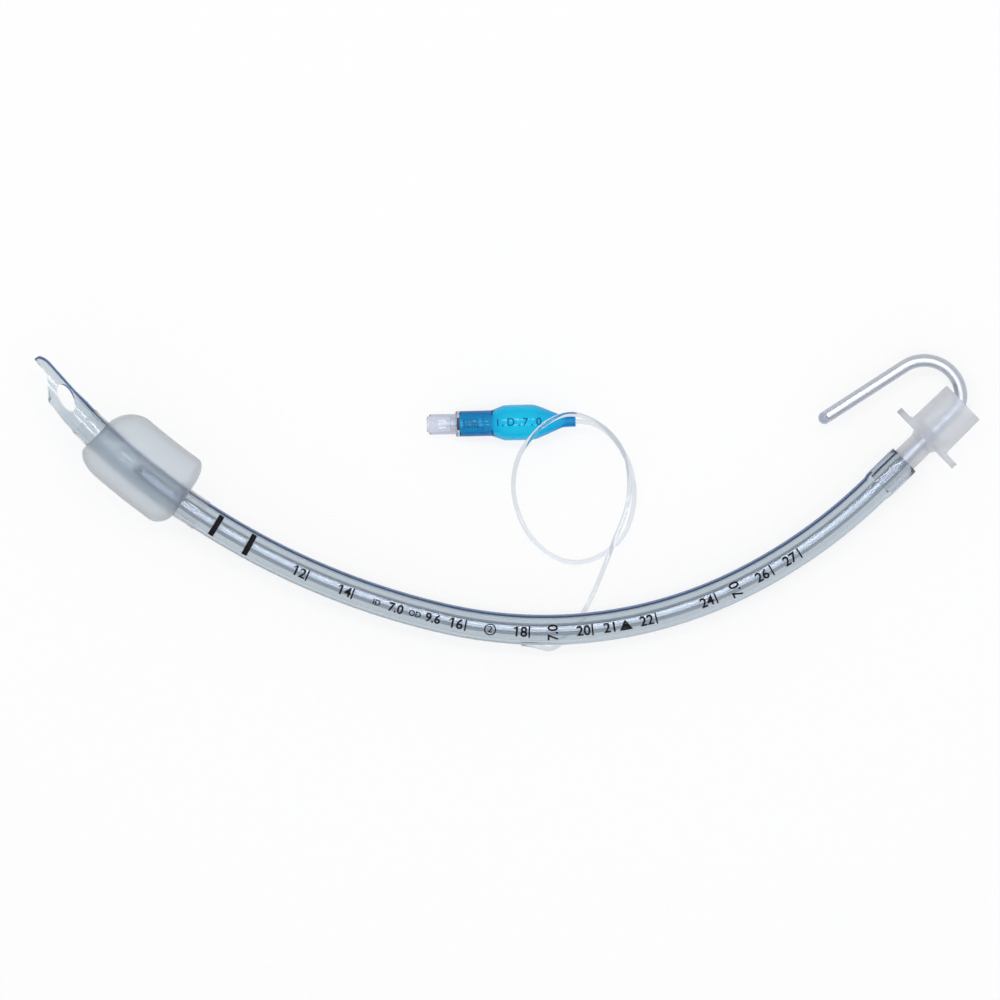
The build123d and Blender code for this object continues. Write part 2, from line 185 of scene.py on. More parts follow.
line_curve.bevel_resolution = 6
line_curve.resolution_u = 16
line_curve.use_fill_caps = True
spline = line_curve.splines.new("NURBS")
spline.points.add(len(line_route) - 1)
line_points = np.ones((len(line_route), 4))
line_points[:, :3] = np.array(line_route) * MM
spline.points.foreach_set("co", line_points.ravel())
spline.order_u = 3
spline.use_endpoint_u = True
line_piece = added("inflation_line_tube", line_curve)
line_vinyl = clear_plastic(
    Finish("line_vinyl"), tint=(0.955, 0.965, 0.975), index=1.45, roughness=0.05, shade=(0.8, 0.82, 0.86),
    ripple=0.1, absorbed=(0.45, 0.52, 0.6), density=300,
)
line_curve.materials.append(line_vinyl)
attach(line_piece, "tube_set")
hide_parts("inflation_line")

# The tube is clear vinyl, 9.6 mm outside and 7.0 mm inside. It is extruded, bent into a bow, stretched over
# the connector at its machine end, and moulded at the other into a slanted mouth under a hooded nose, with
# an eye in each side. It lies on its cuff, the flange and the inflation line, so its plane leans a little.
tube_radius = 4.8
bore_radius = 3.5
tip_radius = 4.4
tip_wall = tip_radius - bore_radius
tip_straight = 16.7
tip_taper = 5.0
flare_length = 11.2
flare_wall = 1.15
flare_bore = 4.03
flare_radius = flare_bore + flare_wall
neck_end = 13.2
bends = [(51, 165), (96, 139.2), (118.6, 237.2), (16.6, 140)]
runs = [(neck_end, None), *bends, (1000, None)]
nose_station = neck_end + sum(length for length, radius in bends) + tip_straight
tip_station = nose_station - tip_straight
lie_heading = math.radians(224.4)
lean = np.array([-0.02219233, 0.06630336, 0.99755269])
tube_end = np.array([124.877, 12.5152, 7.82752])


def laid(x, y, z):
    """Takes points from the tube's own plane to where it lies: turned until its plane leans, then moved."""
    across = np.array([1.0, 0.0, 0.0]) - lean * lean[0]
    across /= np.linalg.norm(across)
    turn = np.stack([across, np.cross(lean, across), lean])
    return np.stack(np.broadcast_arrays(x, y, z), -1) @ turn.T + tube_end


def centreline(station):
    """Place and heading on the tube's middle line: straight runs and arcs end to end, each arc clockwise."""
    x = np.zeros_like(station, dtype=float)
    y = np.zeros_like(x)
    heading = np.full_like(x, lie_heading)
    left = np.array(station, dtype=float)
    for length, radius in runs:
        step = np.minimum(left, length)
        if radius is None:
            x = x + step * np.cos(heading)
            y = y + step * np.sin(heading)
        else:
            after = heading - step / radius
            x = x + radius * (np.sin(heading) - np.sin(after))
            y = y + radius * (np.cos(after) - np.cos(heading))
            heading = after
        left = left - step
    return x, y, heading


def beside(station, inward, up):
    """Points beside the middle line: square to its heading by inward, into the bow, and up off its plane."""
    x, y, heading = centreline(station)
    return laid(x + inward * np.sin(heading), y - inward * np.cos(heading), up)


def around(station, radius, angle):
    """Points on the tube's rings: radius out from the middle line, angle 0 into the bow and 90 degrees up."""
    return beside(station, radius * np.cos(angle), radius * np.sin(angle))


def rings(stations, radii, angle, inward=0.0, slant=0.45):
    """Rows of rings along the tube, each set over into the bow by its own amount. A ring that is set over
    also leans: each point stays back by that amount, times the slant, times the cosine of its angle."""
    inward = np.broadcast_to(inward, len(stations))[:, None]
    radii = np.asarray(radii)[:, None]
    cosine = np.cos(angle)[None, :]
    set_back = slant * inward * cosine
    return beside(stations[:, None] - set_back, radii * cosine + inward, radii * np.sin(angle)[None, :])


def shell(points, round_rows=False, hollow=False):
    """Vertices and faces of a closed skin over a grid of points. Its columns close on themselves, and so do
    its rows if they are round, or else its ends are fanned to their middles. Its faces are turned round where
    the sum of their signed volumes says that they don't face out, or in if the skin bounds a hollow."""
    rows, columns = points.shape[:2]
    verts = points.reshape(-1, 3)
    row = np.arange(rows if round_rows else rows - 1)[:, None] * columns
    below = (row + columns) % (rows * columns)
    column = np.arange(columns)
    after = (column + 1) % columns
    quads = np.stack([row + column, row + after, below + after, below + column], -1).reshape(-1, 4)
    fans = np.empty((0, 3), dtype=int)
    if not round_rows:
        near = np.full(columns, len(verts))
        last = (rows - 1) * columns
        fans = np.stack([near, after, column, near + 1, last + column, last + after], -1).reshape(-1, 3)
        verts = np.concatenate([verts, points[0].mean(0)[None], points[-1].mean(0)[None]])
    corners = np.concatenate([quads, fans[:, [0, 1, 2, 2]]]).T
    a, b, c, d = (verts[corner] - verts.mean(0) for corner in corners)
    volume = (np.cross(a, b) * c).sum() + (np.cross(a, c) * d).sum()
    faces = quads.tolist() + fans.tolist()
    if (volume < 0) != hollow:
        faces = [face[::-1] for face in faces]
    return verts, faces


sharp_edge = math.radians(40)


def skinned(name, shells, material):
    """One object from closed skins in millimetres, smooth but for its sharp edges."""
    verts = []
    faces = []
    for shell_verts, shell_faces in shells:
        first = sum(len(v) for v in verts)
        verts.append(shell_verts)
        faces += [[i + first for i in face] for face in shell_faces]
    mesh = bpy.data.meshes.new(name)
    mesh.from_pydata((np.concatenate(verts) * MM).tolist(), [], faces)
    mesh.polygons.foreach_set("use_smooth", [True] * len(mesh.polygons))
    mesh.set_sharp_from_angle(angle=sharp_edge)
    mesh.materials.append(material)
    return added(name, mesh)


def piece(name, shells, material, nodes=()):
    """A skinned object that rides with the tube, with the finish it is given, and hides the solids it takes
    the place of.
    """
    made = skinned(name, shells, material)
    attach(made, "tube_set")
    if nodes:
        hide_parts(*nodes)
    return made


hood_depth = 3.0
sweep_radius = 8.0
sweep_angle = math.radians(25)
sweep_way = sweep_radius * sweep_angle
curl_radius = 1.6
curl_angle = math.radians(95)
curl_way = curl_radius * curl_angle
nose_way = tip_straight + sweep_way + curl_way
bevel_angle = math.radians(38.3)
heel_to_nose = 8.9
bevel_heel = tip_straight - heel_to_nose
brow = tip_radius - hood_depth


def nose_profile(way, wall):
    """Radius and height of the tip's wall along its way: straight, then a slow arc and a tight one, both
    turning inwards."""
    slow = np.clip((way - tip_straight) / sweep_way, 0, 1) * sweep_angle
    tight = np.clip((way - tip_straight - sweep_way) / curl_way, 0, 1) * curl_angle
    slow_radius = sweep_radius - wall
    tight_radius = curl_radius - wall
    step = sweep_radius - curl_radius
    middle = tip_radius - sweep_radius
    radius = np.where(
        tight > 0,
        middle + step * np.cos(sweep_angle) + tight_radius * np.cos(sweep_angle + tight),
        middle + slow_radius * np.cos(slow),
    )
    height = np.where(
        tight > 0,
        tip_straight + step * np.sin(sweep_angle) + tight_radius * np.sin(sweep_angle + tight),
        np.minimum(way, tip_straight) + slow_radius * np.sin(slow),
    )
    return radius, height


def tip_limit(angle, wall):
    """How far along its way the tip's wall reaches at an angle: to the slanted cut, or under the hood to the
    nose's lower edge."""
    side = (tip_radius - wall) * np.cos(angle)
    cut = bevel_heel + (tip_radius + side) / math.tan(bevel_angle)
    way = np.linspace(tip_straight, nose_way, 200)
    radius, height = nose_profile(way, wall)
    wanted = brow / np.maximum(np.cos(angle), 0.05)
    hood = np.interp(-wanted, -radius, way)
    return np.where(side < brow, cut, hood)


def tip_rows(angle, wall, taper):
    """The tip's outer or inner wall as rows of points from its start to its cut edge; its start is wider by
    the taper, which runs out along the taper's length."""
    way = np.linspace(0, 1, 80)[1:, None] * tip_limit(angle, wall)[None, :]
    radius, height = nose_profile(way, wall)
    radius = radius + taper * np.clip(1 - way / tip_taper, 0, 1)
    return around(tip_station + height, radius, np.broadcast_to(angle, way.shape))


# The rings have extra points beside the hood's two corners, and the inner wall's rings are turned so that
# both walls meet those corners with the same column.
hood_outer = math.acos(brow / tip_radius)
hood_inner = math.acos(brow / bore_radius)
corner_step = 0.012
plain_angles = np.linspace(-math.pi, math.pi, 120, endpoint=False)
hood_corners = np.add.outer([-hood_outer, hood_outer], [-corner_step, 0.0, corner_step]).ravel()
angle_out = np.sort(np.concatenate([plain_angles, hood_corners]))
angle_in = np.interp(
    angle_out, [-math.pi, -hood_outer, hood_outer, math.pi], [-math.pi, -hood_inner, hood_inner, math.pi]
)
body_stations = np.linspace(neck_end, tip_station, 170)
outer_flare = np.array([
    (0, flare_radius - 0.15), (0.2, flare_radius), (4, flare_radius), (8, flare_radius),
    (flare_length - 0.4, flare_radius), (flare_length, flare_radius - 0.03), (flare_length + 0.7, 5.1),
    (neck_end - 0.6, tube_radius + 0.1),
])
inner_flare = np.array([
    (neck_end - 0.6, bore_radius + 0.12), (flare_length + 0.7, 3.85), (flare_length, flare_bore - 0.02),
    (flare_length - 0.4, flare_bore), (8, flare_bore), (4, flare_bore), (0.2, flare_bore),
    (0, flare_bore + 0.1),
])
wall_rows = np.concatenate([
    rings(*outer_flare.T, angle_out),
    rings(body_stations, np.full(len(body_stations), tube_radius), angle_out),
    tip_rows(angle_out, 0.0, tube_radius - tip_radius),
    tip_rows(angle_in, tip_wall, 0.0)[::-1],
    rings(body_stations[::-1], np.full(len(body_stations), bore_radius), angle_in),
    rings(*inner_flare.T, angle_in),
])

# A fine air channel runs in the outer wall, from the inflation line to the cuff.
channel_start = 136
channel_stop = 269
channel_radius = 0.35
mid_wall = (tube_radius + bore_radius) / 2
channel_angle = np.linspace(0, 2 * math.pi, 10, endpoint=False)[None, :]
channel_rows = beside(
    np.linspace(channel_start, channel_stop, 90)[:, None],
    channel_radius * np.cos(channel_angle) - mid_wall,
    channel_radius * np.sin(channel_angle),
)
tube_vinyl = clear_plastic(
    Finish("tube_vinyl"), tint=(0.955, 0.965, 0.975), index=1.5, roughness=0.015, shade=(0.8, 0.82, 0.85),
    ripple=0.05, absorbed=(0.34, 0.47, 0.56), density=285,
)
tube_piece = piece(
    "clear_tube",
    [shell(wall_rows, round_rows=True), shell(channel_rows, hollow=True)],
    tube_vinyl,
    ["tube"],
)

# The eyes are ovals punched through both sides of the tip, a little askew to the tube's length.
eye_half_length = 4.7
eye_half_width = 2.2
eye_to_nose = 11.4
eye_offset = 0.7
eye_lean = math.radians(75)
eye_punch = 8.0
eye_angle = np.linspace(0, 2 * math.pi, 48, endpoint=False)
eye_long = eye_half_length * np.cos(eye_angle)
eye_wide = eye_half_width * np.sin(eye_angle)
eye_along = tip_straight - eye_to_nose + eye_long * math.sin(eye_lean) + eye_wide * math.cos(eye_lean)
eye_in = eye_offset + eye_long * math.cos(eye_lean) - eye_wide * math.sin(eye_lean)
eye_rows = beside(tip_station + eye_along, eye_in, np.array([-eye_punch, eye_punch])[:, None])
eye_cutter = skinned("eye_cutter", [shell(eye_rows)], tube_vinyl)
holes = tube_piece.modifiers.new("eyes", "BOOLEAN")
holes.operation = "DIFFERENCE"
holes.solver = "EXACT"
holes.object = eye_cutter
cut_tube = bpy.data.meshes.new_from_object(tube_piece.evaluated_get(bpy.context.evaluated_depsgraph_get()))
tube_piece.modifiers.clear()
tube_piece.data = cut_tube
cut_tube.set_sharp_from_angle(angle=sharp_edge)
bpy.data.objects.remove(eye_cutter)

# The blue line shows up on an X-ray. It is a coloured strip drawn into the wall along the inside of the bow,
# and at the tip it follows the nose round to its edge. Its section, an oblong with rounded corners, stands
# square to that path.
strip_half_thickness = 0.25
strip_half_width = 1.0
strip_in_flare = 4.675
strip_in_wall = 4.075
strip_run = np.concatenate([[0.0, 5, flare_length, neck_end], body_stations[1:], [nose_station]])
strip_run_reach = np.interp(strip_run, [flare_length, neck_end], [strip_in_flare, strip_in_wall])
strip_way = np.linspace(tip_straight, nose_way - 0.05, 30)[1:]
strip_curl, strip_height = nose_profile(strip_way, tip_radius - strip_in_wall)
strip_station = np.concatenate([strip_run, tip_station + strip_height])
strip_reach = np.concatenate([strip_run_reach, strip_curl])


def squared(wave):
    """Squares a circle's cosine or sine up: its size to the power 0.4, with its own sign."""
    return np.sign(wave) * np.abs(wave) ** 0.4


strip_angle = np.linspace(0, 2 * math.pi, 20, endpoint=False)
corner_in = squared(np.cos(strip_angle)) * strip_half_thickness
corner_up = squared(np.sin(strip_angle)) * strip_half_width
strip_along = np.gradient(strip_station)
strip_out = np.gradient(strip_reach)
strip_step = np.hypot(strip_along, strip_out)
strip_rows = beside(
    strip_station[:, None] - (strip_out / strip_step)[:, None] * corner_in,
    strip_reach[:, None] + (strip_along / strip_step)[:, None] * corner_in,
    corner_up[None, :],
)
# Painted shade: the strip's blue is painted dark towards the two faces of its thin side and light between
# them. This stands in for the way the clear wall bends and dims the light at the strip's edges. Only its
# faint cloud is a tone that the strip itself has.
blue = Finish("blue_line")
blue_cloud = blue.grain(2500)
blue_painted_shade_share = blue.node("ShaderNodeAttribute", {"attribute_name": "across"}, output="Fac")
blue_with_painted_shade = blue.node(
    "ShaderNodeValToRGB",
    {"stops": [(0.45, (0.15, 0.42, 0.75)), (0.75, (0.0, 0.11, 0.4))]},
    {"Fac": blue_painted_shade_share + blue_cloud * 0.1 - 0.05},
)
blue_body = blue.node(
    "ShaderNodeBsdfPrincipled",
    sockets={"Base Color": blue_with_painted_shade, "Roughness": blue_cloud * 0.2 + 0.45, "Specular IOR Level": 0.1},
)
strip_piece = piece(
    "blue_line_strip", [shell(strip_rows)], blue.finished(blue_body), ["radiopaque_line"]
)
# How far a point lies from the middle of the strip's thickness: 0 in the middle and 1 at its faces. This
# share sets the painted shade on the strip.
across = np.tile(np.abs(corner_in) / strip_half_thickness, len(strip_station))
across = np.concatenate([across, [1.0, 1.0]])
strip_piece.data.attributes.new("across", "FLOAT", "POINT").data.foreach_set("value", across)

# The print on the upper side is black: the depth in centimetres, each with a tick, the bore and the outside
# diameter, a triangle, a 2 in a ring, and two bands above the cuff that belong between the vocal cords.
def ink(name, colour):
    """A matt printing ink, whose fine grain changes its gloss a little."""
    made = Finish(name)
    grain = made.grain(9000, 4.0)
    body = made.node(
        "ShaderNodeBsdfPrincipled",
        sockets={"Base Color": (*colour, 1), "Roughness": grain * 0.3 + 0.5, "Specular IOR Level": 0.12},
    )
    return made.finished(body)


black_ink = ink("black_ink", (0.006, 0.006, 0.008))
print_radius = tube_radius + 0.02
print_depth = 0.03
print_sunk = 0.01
print_line = -0.6
face_cap = 0.67
face_boldness = 0.03
flag_outline = [(0.0, 0.0), (0.0, -0.2), (-0.26, -0.38), (-0.26, -0.24)]
flag_lap = 0.02


def upper_side(flat, station):
    """Wraps flat points, x along the reading line and y up it, on the tube's upper side at a station."""
    angle = math.pi / 2 - (flat[..., 1] + print_line) / print_radius
    return around(station - flat[..., 0], print_radius + flat[..., 2], angle)


def flagged(work, text, height):
    """Gives each 1 in a flat word the slanted flag that the plain face's straight stroke lacks."""
    places = [v.co.x for v in work.verts]
    left = min(places)
    width = max(places) - left
    top = max(v.co.y for v in work.verts)
    for index, figure in enumerate(text):
        if figure == "1":
            start, stop = (left + width * edge / len(text) for edge in (index, index + 1))
            stroke = min(x for x in places if start <= x < stop) + flag_lap
            ring = [
                [work.verts.new((stroke + x * height, top + y * height, z)) for x, y in flag_outline]
                for z in (-print_depth / 2, print_depth / 2)
            ]
            work.faces.new(ring[1])
            work.faces.new(ring[0][::-1])
            for side in range(4):
                after = (side + 1) % 4
                work.faces.new([ring[0][side], ring[0][after], ring[1][after], ring[1][side]])


def flat_word(name, text, height, spacing=1.0):
    """A word in the plain built-in face as a flat, finely cut mesh, its strokes thickened like print."""
    letters = bpy.data.curves.new(name, "FONT")
    letters.body = text
    letters.size = height / face_cap
    letters.space_character = spacing
    letters.align_x = "CENTER"
    letters.align_y = "CENTER"
    letters.offset = height * face_boldness
    letters.extrude = print_depth / 2
    holder = added(name, letters)
    mesh = bpy.data.meshes.new_from_object(holder.evaluated_get(bpy.context.evaluated_depsgraph_get()))
    bpy.data.objects.remove(holder)
    work = bmesh.new()
    work.from_mesh(mesh)
    flagged(work, text, height)
    bmesh.ops.recalc_face_normals(work, faces=work.faces)
    bmesh.ops.triangulate(work, faces=work.faces)
    bmesh.ops.subdivide_edges(work, edges=work.edges, cuts=2, use_grid_fill=True)
    bmesh.ops.remove_doubles(work, verts=work.verts, dist=1e-5)
    work.to_mesh(mesh)
    work.free()
    flat = np.empty(len(mesh.vertices) * 3)
    mesh.vertices.foreach_get("co", flat)
    return flat.reshape(-1, 3), mesh


def wrapped(name, mesh, place, finish):
    """Puts a flat word's points where they belong on the object, and lets it ride with the tube."""
    mesh.vertices.foreach_set("co", (place * MM).ravel())
    mesh.materials.clear()
    mesh.materials.append(finish)
    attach(added(name, mesh), "tube_set")


def words(name, text, height, station, turned=False):
    """Black figures on the tube's upper side, which read along the tube, or across it if they are turned."""
    flat, mesh = flat_word(name, text, height)
    if turned:
        flat = flat[:, [1, 0, 2]] * [-1, 1, 1]
    wrapped(name, mesh, upper_side(flat, station), black_ink)


def patch(station, width, low, high):
    """A printed bar: a thin closed plate wrapped on the tube, width along it, from low to high across it."""
    rise = np.linspace(low, high, 24)[:, None]
    edge = np.array([-width / 2, -width / 2, width / 2, width / 2])[None, :]
    radius = print_radius + np.array([0, print_depth, print_depth, 0])[None, :] - print_sunk
    return shell(around(station - edge, radius, math.pi / 2 - rise / print_radius))


def mark(station, inner, outer):
    """A printed mark: a thin band between two closed outlines, four rows that close on themselves."""
    low = np.zeros((len(inner), 1))
    high = low + print_depth
    rows = np.stack([
        np.concatenate([inner, low], 1), np.concatenate([outer, low], 1),
        np.concatenate([outer, high], 1), np.concatenate([inner, high], 1),
    ])
    return shell(upper_side(rows, station), round_rows=True)


picture_middle = 500
picture_scale = 3.18


def station_of(column):
    """The station whose middle line lies under a column of the picture, by looking it up along the tube."""
    stations = np.linspace(0, nose_station, 4000)
    place = beside(stations, 0.0, 0.0)
    x = (column - picture_middle) / picture_scale + view_middle[0]
    return float(np.interp(x, place[::-1, 0], stations[::-1]))


# Each figure has its name, its text, its column in the picture, its height and whether it is turned.
figures = [
    ("size_bore", "7.0", 396, 2.7, False), ("size_outside", "9.6", 433, 2.7, False),
    ("depth_16", "16", 456, 3.0, False), ("depth_18", "18", 520, 3.0, False),
    ("depth_20", "20", 583, 3.0, False), ("depth_21", "21", 610, 3.0, False),
    ("depth_22", "22", 646, 3.0, False), ("depth_24", "24", 706, 3.0, False),
    ("depth_26", "26", 761, 3.0, False), ("depth_27", "27", 788.5, 3.0, False),
    ("bore_mid", "7.0", 553, 3.0, True), ("bore_near", "7.0", 735, 3.0, True),
    ("depth_14", "14", 345, 3.0, False), ("depth_12", "12", 300, 3.0, False),
    ("bore_mark", "ID", 377, 1.7, False), ("outside_mark", "OD", 415, 1.7, False),
]
for name, text, column, height, turned in figures:
    words(name, text, height, station_of(column), turned)
tick_columns = (308, 353, 465.5, 529, 592, 655.5, 715, 770.5, 798)
tick_width = 0.5
tick_span = (-2.3, 1.4)
band_columns = (216.3, 249.3)
band_width = 1.8
band_span = (-3.9, 4.2)
bars = [patch(station_of(column), tick_width, *tick_span) for column in tick_columns]
bars += [patch(station_of(column), band_width, *band_span) for column in band_columns]
ring_column = 490
ring_radii = (1.5, 1.9)
ring_figure_height = 2.0
triangle_column = 625
triangle_tips = np.array([(0.0, 2.0), (-2.1, -1.5), (2.1, -1.5)])
triangle_hole = 0.02
circle_angle = np.linspace(0, 2 * math.pi, 48, endpoint=False)
circle = np.stack([np.cos(circle_angle), np.sin(circle_angle)], 1)
share = np.linspace(0, 3, 48, endpoint=False)
side = share.astype(int)
triangle_sides = np.roll(triangle_tips, -1, 0) - triangle_tips
triangle = triangle_tips[side] + triangle_sides[side] * (share - side)[:, None]
marks = [
    mark(station_of(ring_column), *(circle * radius for radius in ring_radii)),
    mark(station_of(triangle_column), triangle * triangle_hole, triangle),
]
piece("printed_bars", bars + marks, black_ink)
words("single_use", "2", ring_figure_height, station_of(ring_column))

# The cuff is a thin frosted film blown up round the tube, with a collar bonded on the wall at each end. It
# swells more to the inside of the bow, and its two shoulders differ in length.
cuff_length = 34
cuff_to_nose = 26.5
cuff_far = nose_station - cuff_to_nose
cuff_near = cuff_far - cuff_length
cuff_radius = 12.25
near_shoulder = 4.5
far_shoulder = 9.0
cuff_set_over = 2.0
film = 0.12
near_collar = 7.5
far_collar = 6.0
collar_radius = 5.2
collar_bore = 4.85
collar_end = 0.3
bulge = np.linspace(0, math.pi / 2, 24)
barrel = np.linspace(cuff_near + near_shoulder, cuff_far - far_shoulder, 14)[1:-1]
cuff_stations = np.concatenate([
    cuff_near + near_shoulder * (1 - np.cos(bulge)),
    barrel,
    cuff_far - far_shoulder * (1 - np.cos(bulge[::-1])),
])
swell = np.concatenate([np.sin(bulge), np.ones(len(barrel)), np.sin(bulge[::-1])])
cuff_outer = collar_radius + (cuff_radius - collar_radius) * swell
cuff_inner = np.maximum(cuff_outer - film, collar_bore)
set_over = cuff_set_over * swell
ring_angle = np.linspace(0, 2 * math.pi, 128, endpoint=False)
cuff_rows = np.concatenate([
    rings(cuff_stations, cuff_outer, ring_angle, set_over),
    rings(cuff_stations[::-1], cuff_inner[::-1], ring_angle, set_over[::-1]),
])
cuff_film = clear_plastic(
    Finish("cuff_film"), tint=(0.82, 0.85, 0.875), index=1.3, roughness=0.3, shade=(0.8, 0.82, 0.85),
    ripple=0.3,
)
piece("cuff_skin", [shell(cuff_rows, round_rows=True)], cuff_film, ["cuff"])
collar_profile = [collar_bore + 0.1, collar_radius - 0.15, collar_radius - 0.15, collar_bore + 0.1]
collars = []
for start, stop in ((cuff_near - near_collar, cuff_near), (cuff_far, cuff_far + far_collar)):
    stations = np.array([start, start + collar_end, stop - collar_end, stop])
    outer = rings(stations, collar_profile, ring_angle)
    inner = rings(stations[::-1], np.full(4, collar_bore), ring_angle)
    collars.append(shell(np.concatenate([outer, inner]), round_rows=True))
cuff_bond = clear_plastic(
    Finish("cuff_bond"), tint=(0.97, 0.975, 0.98), index=1.38, roughness=0.05, shade=(0.85, 0.87, 0.9),
    ripple=0.15, absorbed=(0.5, 0.58, 0.66), density=60,
)
piece("cuff_collars", collars, cuff_bond, ["cuff"])

# The connector is one moulding of frosted polypropylene: a shank in the tube, an oval flange to push on
# and a cone for the breathing circuit. The shank looks smooth where the tube grips it.
shank_exposed = 8.8
flange_thickness = 2.0
cone_length = 15.0
moulding = Finish("connector_plastic")
in_tube, at_end = beside(np.array([1.0, 0.0]), 0.0, 0.0)
way_out = at_end - in_tube
spot = moulding.node("ShaderNodeTexCoord", output="Object")
outwards = moulding.node(
    "ShaderNodeVectorMath", {"operation": "DOT_PRODUCT"}, {0: spot, 1: list(way_out)}, output="Value"
)
out_of_tube = moulding.maths("GREATER_THAN", outwards, float(at_end @ way_out) * MM)
frosted = clear_plastic(
    moulding, tint=(0.9, 0.91, 0.93), index=1.45, roughness=out_of_tube * 0.36 + 0.06,
    shade=(0.75, 0.77, 0.8), ripple=0.2, absorbed=(0.7, 0.73, 0.78), density=40,
)


def dressed(node, finish):
    """Gives a solid that shows as it is its finish."""
    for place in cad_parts[node].material_slots:
        place.material = finish


dressed("connector", frosted)

# The stylet is a soft aluminium rod in a closed clear sheath. It lies in the bore and is hooked over the
# connector's mouth so that it can't slip further in.
stylet_radius = 2.0
sheath_bore = 1.34
sheath_end = 1.25
core_radius = 1.35
core_short = 1.35
stylet_to_nose = 44
stylet_drop = 0.9
hook_before_mouth = 3.4
hook_start = shank_exposed + flange_thickness + cone_length - hook_before_mouth
first_radius = 6.0
first_turn = math.radians(48.5)
second_radius = 11.6
second_turn = math.radians(120)
hook_straight = 29.8


def stylet_line(shorter):
    """Places and headings from the inner end to the hook's end: back along the middle line, out of the
    connector, round two arcs and straight."""
    x, y, heading = centreline(np.linspace(nose_station - stylet_to_nose - shorter, 0, 240))
    heading = heading + math.pi
    legs = [
        (hook_start, None, 10), (first_radius, first_turn, 14), (second_radius, second_turn, 30),
        (hook_straight - shorter, None, 10),
    ]
    for size, turn, count in legs:
        share = np.linspace(0, 1, count)[1:]
        before = heading[-1]
        if turn is None:
            after = np.full(len(share), before)
            x = np.append(x, x[-1] + share * size * np.cos(before))
            y = np.append(y, y[-1] + share * size * np.sin(before))
        else:
            after = before + share * turn
            x = np.append(x, x[-1] + size * (np.sin(after) - np.sin(before)))
            y = np.append(y, y[-1] - size * (np.cos(after) - np.cos(before)))
        heading = np.append(heading, after)
    return x, y, heading


def bar(shorter, radius):
    """A round bar along the stylet's line, with half a sphere on each end: the rings of a half sphere shrink
    with the sine, and lie ahead of its middle by the cosine, of their angle from its pole."""
    x, y, heading = stylet_line(shorter)
    dome = np.linspace(0.05, math.pi / 2, 10)[:-1]
    reach = radius * np.cos(dome)
    ring = radius * np.sin(dome)
    ahead = np.concatenate([-reach, np.zeros(len(x)), reach[::-1]])[:, None]
    girth = np.concatenate([ring, np.full(len(x), radius), ring[::-1]])[:, None]
    x, y, heading = (np.pad(values, len(dome), mode="edge")[:, None] for values in (x, y, heading))
    turn = np.linspace(0, 2 * math.pi, 40, endpoint=False)[None, :]
    side = girth * np.cos(turn)
    return laid(
        x + ahead * np.cos(heading) + side * np.sin(heading),
        y + ahead * np.sin(heading) - side * np.cos(heading),
        girth * np.sin(turn) - stylet_drop,
    )


def opaque(name, colour, roughness, metallic=0.0, scale=4000, detail=3.0):
    """An opaque plastic, rubber or metal, with a fine grain in its gloss and on its surface."""
    made = Finish(name)
    speck = made.grain(scale, detail)
    body = made.node(
        "ShaderNodeBsdfPrincipled",
        sockets={
            "Base Color": (*colour, 1),
            "Roughness": speck * 0.2 + roughness,
            "Metallic": metallic,
            "Normal": made.bump(speck, 0.1, 0.0001),
        },
    )
    return made.finished(body)


sheath_plastic = clear_plastic(
    Finish("sheath_plastic"), tint=(0.93, 0.94, 0.97), index=1.5, roughness=0.03, shade=(0.75, 0.77, 0.85),
    ripple=0.1, absorbed=(0.48, 0.54, 0.64), density=480,
)
piece(
    "stylet_sheath_tube",
    [shell(bar(0, stylet_radius)), shell(bar(sheath_end, sheath_bore), hollow=True)],
    sheath_plastic,
    ["stylet_sheath"],
)
core_metal = opaque("core_metal", (0.88, 0.89, 0.9), 0.25, 1.0, 3000, 4.0)
piece("stylet_rod", [shell(bar(core_short, core_radius))], core_metal, ["stylet_core"])

# The pilot balloon is one moulding of blue clear vinyl. Its sleeve grips the valve's tail, its belly shows
# whether the cuff is full, and its own tail takes the line's end. Its size is printed on it in dark blue.
valve_place = np.array([-25.19, 23.65, 3.13993])
valve_axis = np.array([0.99442, 0.02257, 0.10307])
valve_side = np.cross([0.0, 0.0, 1.0], valve_axis)
valve_side /= np.linalg.norm(valve_side)
valve_up = np.cross(valve_axis, valve_side)


def eased(outline, times):
    """Rounds a closed outline's corners, by cutting each one at a quarter of its two sides, a few times."""
    points = np.array(outline, dtype=float)
    for cut in range(times):
        after = np.roll(points, -1, 0)
        points = np.stack([points * 0.75 + after * 0.25, points * 0.25 + after * 0.75], 1).reshape(-1, 2)
    return points


def spun(outline):
    """Turns a closed outline, of radius and distance from the valve's mouth, round the valve's axis."""
    turn = np.linspace(0, 2 * math.pi, 72, endpoint=False)[None, :, None]
    radius = outline[:, 0][:, None, None]
    along = outline[:, 1][:, None, None]
    return valve_place + along * valve_axis + radius * (np.cos(turn) * valve_side + np.sin(turn) * valve_up)


balloon_outline = eased([
    (3.25, 10.55), (4.0, 10.52), (4.05, 10.6), (4.05, 19.5), (4.1, 20.6), (5.2, 23.2), (5.6, 24.6), (5.6, 29),
    (5.6, 33.4), (5.2, 35.0), (2.2, 42.0), (1.8, 42.9), (1.75, 46.8), (1.7, 46.92), (0.85, 46.9), (0.8, 46.8),
    (0.82, 43.2), (1.7, 41.6), (4.8, 34.8), (5.2, 33.2), (5.2, 29), (5.2, 24.8), (4.8, 23.4), (3.8, 21.2),
    (3.3, 20.4), (3.25, 19.4), (3.25, 12),
], 3)
balloon_vinyl = clear_plastic(
    Finish("balloon_vinyl"), tint=(0.08, 0.95, 0.98), index=1.3, roughness=0.06, shade=(0.45, 0.68, 0.85),
    ripple=0.3, absorbed=(0.01, 0.66, 0.88), density=1650,
)
balloon_piece = piece(
    "pilot_balloon_skin",
    [shell(spun(balloon_outline), round_rows=True)],
    balloon_vinyl,
    ["pilot_balloon"],
)
size_height = 2.3
